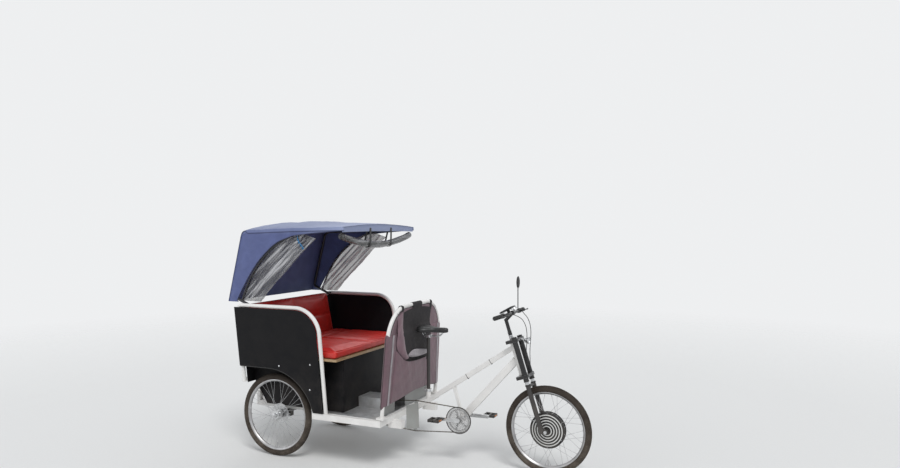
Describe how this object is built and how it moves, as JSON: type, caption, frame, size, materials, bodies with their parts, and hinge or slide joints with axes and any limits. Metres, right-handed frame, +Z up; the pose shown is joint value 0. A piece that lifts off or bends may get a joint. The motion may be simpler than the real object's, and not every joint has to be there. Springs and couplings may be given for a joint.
{
  "type": "cycle rickshaw",
  "caption": "Three-wheeled cycle rickshaw with a hub-motor front wheel, two-seat passenger body, cloth hood, front hoop with fabric cover and tied-back clear curtains.",
  "frame": {"origin": "on the ground, under the middle of the vehicle's length and width", "axes": "+X forward, +Y to the rider's left, +Z up"},
  "size_m": [2.85, 1.2774, 1.8937],
  "materials": {
    "white_paint": "semi-gloss white paint",
    "black_panel": "satin black sheet",
    "deck_alloy": "ribbed aluminium",
    "grey_paint": "grey paint",
    "seat_wood": "varnished plywood",
    "red_vinyl": "smooth vinyl",
    "cover_cloth": "woven nylon",
    "hood_cloth": "coated canvas",
    "clear_pvc": "clear soft sheet",
    "webbing": "flat webbing",
    "hood_tube": "dark paint",
    "black_metal": "black paint",
    "dark_metal": "dark grey paint",
    "polished_steel": "polished",
    "polished_alloy": "polished",
    "rim_alloy": "brushed",
    "motor_paint": "black with pale rings",
    "chain_steel": "oiled",
    "black_rubber": "moulded",
    "black_plastic": "moulded",
    "tyre_rubber": "treaded",
    "saddle_black": "padded"
  },
  "bodies": {
    "root": {"floor_frame": "white_paint", "floor_deck": "deck_alloy", "chain_tunnel": "deck_alloy", "kick_plate": "grey_paint", "seat_front_panel": "black_panel", "well_panels": "black_panel", "wheel_arches": "black_panel", "side_hoops": "white_paint", "side_panels": "black_panel", "back_panel": "black_panel", "seat_board": "seat_wood", "seat_cushion": "red_vinyl", "backrest_cushion": "red_vinyl", "front_hoop": "white_paint", "front_cover": "cover_cloth", "head_tube": "white_paint", "main_beam": "white_paint", "down_tube": "white_paint", "frame_strut": "white_paint", "seat_post": "dark_metal", "saddle": "saddle_black", "seat_clamp": "polished_alloy", "saddle_rails": "polished_steel", "chain": "chain_steel", "chain_guard": "grey_paint", "rear_axle": "black_metal", "axle_clamps": "black_metal", "hood_side_frames": "hood_tube", "hood_crossbars": "hood_tube", "hood_canopy": "hood_cloth", "side_curtains": "clear_pvc", "front_curtain": "clear_pvc", "curtain_straps": "webbing"},
    "steering": {"fork_crowns": "black_metal", "stanchions": "polished_steel", "fork_legs": "dark_metal", "front_axle": "polished_steel", "stem": "polished_alloy", "handlebar": "black_metal", "grips": "black_rubber", "brake_levers": "black_plastic", "bell": "polished_steel", "display": "black_plastic", "mirror": "black_plastic", "headlamp": "polished_alloy", "brake_cables": "black_rubber"},
    "front_wheel": {"tyre_front": "tyre_rubber", "spoked_rim_front": "rim_alloy", "hub_motor": "motor_paint"},
    "rear_wheel_right": {"tyre_rear_right": "tyre_rubber", "spoked_rim_rear_right": "rim_alloy", "brake_disc_right": "polished_steel"},
    "rear_wheel_left": {"tyre_rear_left": "tyre_rubber", "spoked_rim_rear_left": "rim_alloy", "brake_disc_left": "polished_steel"},
    "crankset": {"cranks": "polished_alloy", "chainring": "polished_alloy"},
    "pedal_right": {"pedal_right": "black_plastic"},
    "pedal_left": {"pedal_left": "black_plastic"}
  },
  "joints": [
    {"name": "steering_turn", "type": "hinge", "parent": "root", "child": "steering", "pos_m": [0.892, 0, 0.724], "axis": [-0.3019, 0, 0.9533], "range_deg": [-50, 50]},
    {"name": "front_wheel_spin", "type": "hinge", "parent": "steering", "child": "front_wheel", "pos_m": [1.095, 0, 0.33], "axis": [0, 1, 0], "continuous": true},
    {"name": "rear_right_spin", "type": "hinge", "parent": "root", "child": "rear_wheel_right", "pos_m": [-1.025, -0.47, 0.33], "axis": [0, 1, 0], "continuous": true},
    {"name": "rear_left_spin", "type": "hinge", "parent": "root", "child": "rear_wheel_left", "pos_m": [-1.025, 0.47, 0.33], "axis": [0, 1, 0], "continuous": true},
    {"name": "crank_spin", "type": "hinge", "parent": "root", "child": "crankset", "pos_m": [0.405, 0, 0.345], "axis": [0, 1, 0], "continuous": true},
    {"name": "pedal_right_spin", "type": "hinge", "parent": "crankset", "child": "pedal_right", "pos_m": [0.235, -0.15, 0.345], "axis": [0, 1, 0], "continuous": true},
    {"name": "pedal_left_spin", "type": "hinge", "parent": "crankset", "child": "pedal_left", "pos_m": [0.575, 0.15, 0.345], "axis": [0, 1, 0], "continuous": true}
  ]
}
